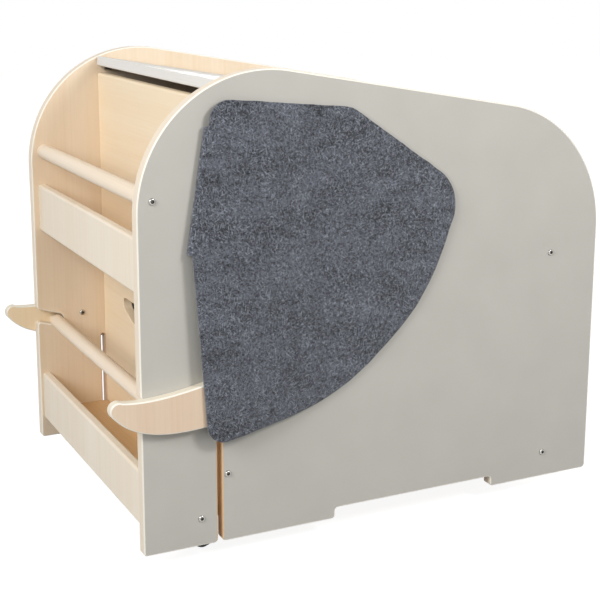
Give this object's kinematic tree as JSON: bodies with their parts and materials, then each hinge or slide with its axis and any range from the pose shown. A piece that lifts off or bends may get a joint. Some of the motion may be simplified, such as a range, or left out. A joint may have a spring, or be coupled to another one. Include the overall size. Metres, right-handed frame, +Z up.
{
  "type": "toy box on wheels",
  "caption": "Elephant-shaped wooden toy chest with a front bookshelf, felt ears, sloping hinged lid and swivel castors.",
  "frame": {"origin": "on the floor under the middle of the object's bounding box", "axes": "+Z up; the animal's head, trunk and bookshelf face -X; the left side is -Y"},
  "size_m": [0.638, 0.4596, 0.5467],
  "materials": {
    "painted_board": "smooth matt warm grey paint outside, clear-coated birch inside",
    "birch_board": "clear-coated birch, fine straight grain",
    "turned_rail": "sanded round bar, clear coat",
    "beech_board": "clear-coated plywood with pale rounded edges",
    "felt": "mottled pressed felt",
    "screw_steel": "nickel plated",
    "hinge_steel": "nickel plated",
    "zinc_steel": "zinc plated",
    "castor_plastic": "moulded dark blue-black"
  },
  "bodies": {
    "frame": {"base_board": "birch_board", "castor_front_left_plate": "zinc_steel", "castor_front_right_plate": "zinc_steel", "castor_rear_left_plate": "zinc_steel", "castor_rear_right_plate": "zinc_steel", "divider_panel": "birch_board", "ear_left": "felt", "ear_right": "felt", "hinge_left_frame_leaf": "hinge_steel", "hinge_left_pin": "hinge_steel", "hinge_right_frame_leaf": "hinge_steel", "hinge_right_pin": "hinge_steel", "lid_rest_left": "zinc_steel", "lid_rest_right": "zinc_steel", "lower_front_board": "birch_board", "lower_rail": "turned_rail", "rear_panel": "birch_board", "screw_left_base_front": "screw_steel", "screw_left_base_rear": "screw_steel", "screw_left_divider_high": "screw_steel", "screw_left_divider_low": "screw_steel", "screw_left_ear_high": "screw_steel", "screw_left_ear_low": "screw_steel", "screw_left_rear_panel": "screw_steel", "screw_left_tusk": "screw_steel", "screw_left_upper_rail": "screw_steel", "screw_left_upper_shelf": "screw_steel", "screw_right_base_front": "screw_steel", "screw_right_base_rear": "screw_steel", "screw_right_divider_high": "screw_steel", "screw_right_divider_low": "screw_steel", "screw_right_ear_high": "screw_steel", "screw_right_ear_low": "screw_steel", "screw_right_rear_panel": "screw_steel", "screw_right_tusk": "screw_steel", "screw_right_upper_rail": "screw_steel", "screw_right_upper_shelf": "screw_steel", "side_panel_left": "painted_board", "side_panel_right": "painted_board", "tusk_left": "beech_board", "tusk_right": "beech_board", "upper_front_board": "birch_board", "upper_rail": "turned_rail", "upper_shelf_floor": "birch_board"},
    "lid": {"lid": "birch_board", "hinge_left_lid_leaf": "hinge_steel", "hinge_right_lid_leaf": "hinge_steel"},
    "castor_front_left_swivel": {"castor_front_left_fork": "zinc_steel", "castor_front_left_axle": "zinc_steel"},
    "castor_front_left_roller": {"castor_front_left_wheel": "castor_plastic"},
    "castor_front_right_swivel": {"castor_front_right_fork": "zinc_steel", "castor_front_right_axle": "zinc_steel"},
    "castor_front_right_roller": {"castor_front_right_wheel": "castor_plastic"},
    "castor_rear_left_swivel": {"castor_rear_left_fork": "zinc_steel", "castor_rear_left_axle": "zinc_steel"},
    "castor_rear_left_roller": {"castor_rear_left_wheel": "castor_plastic"},
    "castor_rear_right_swivel": {"castor_rear_right_fork": "zinc_steel", "castor_rear_right_axle": "zinc_steel"},
    "castor_rear_right_roller": {"castor_rear_right_wheel": "castor_plastic"}
  },
  "joints": [
    {"name": "lid_hinge", "type": "hinge", "parent": "frame", "child": "lid", "pos_m": [0.2603, 0, 0.44168], "axis": [0, 1, 0], "range_deg": [0, 85]},
    {"name": "castor_front_left_turn", "type": "hinge", "parent": "frame", "child": "castor_front_left_swivel", "pos_m": [-0.206, -0.156, 0.036], "axis": [0, 0, 1], "continuous": true},
    {"name": "castor_front_left_roll", "type": "hinge", "parent": "castor_front_left_swivel", "child": "castor_front_left_roller", "pos_m": [-0.19727, -0.17174, 0.016], "axis": [0.8746, 0.4848, 0], "continuous": true},
    {"name": "castor_front_right_turn", "type": "hinge", "parent": "frame", "child": "castor_front_right_swivel", "pos_m": [-0.206, 0.156, 0.036], "axis": [0, 0, 1], "continuous": true},
    {"name": "castor_front_right_roll", "type": "hinge", "parent": "castor_front_right_swivel", "child": "castor_front_right_roller", "pos_m": [-0.19727, 0.14026, 0.016], "axis": [0.8746, 0.4848, 0], "continuous": true},
    {"name": "castor_rear_left_turn", "type": "hinge", "parent": "frame", "child": "castor_rear_left_swivel", "pos_m": [0.214, -0.156, 0.036], "axis": [0, 0, 1], "continuous": true},
    {"name": "castor_rear_left_roll", "type": "hinge", "parent": "castor_rear_left_swivel", "child": "castor_rear_left_roller", "pos_m": [0.223, -0.14041, 0.016], "axis": [-0.866, 0.5, 0], "continuous": true},
    {"name": "castor_rear_right_turn", "type": "hinge", "parent": "frame", "child": "castor_rear_right_swivel", "pos_m": [0.214, 0.156, 0.036], "axis": [0, 0, 1], "continuous": true},
    {"name": "castor_rear_right_roll", "type": "hinge", "parent": "castor_rear_right_swivel", "child": "castor_rear_right_roller", "pos_m": [0.223, 0.17159, 0.016], "axis": [-0.866, 0.5, 0], "continuous": true}
  ]
}
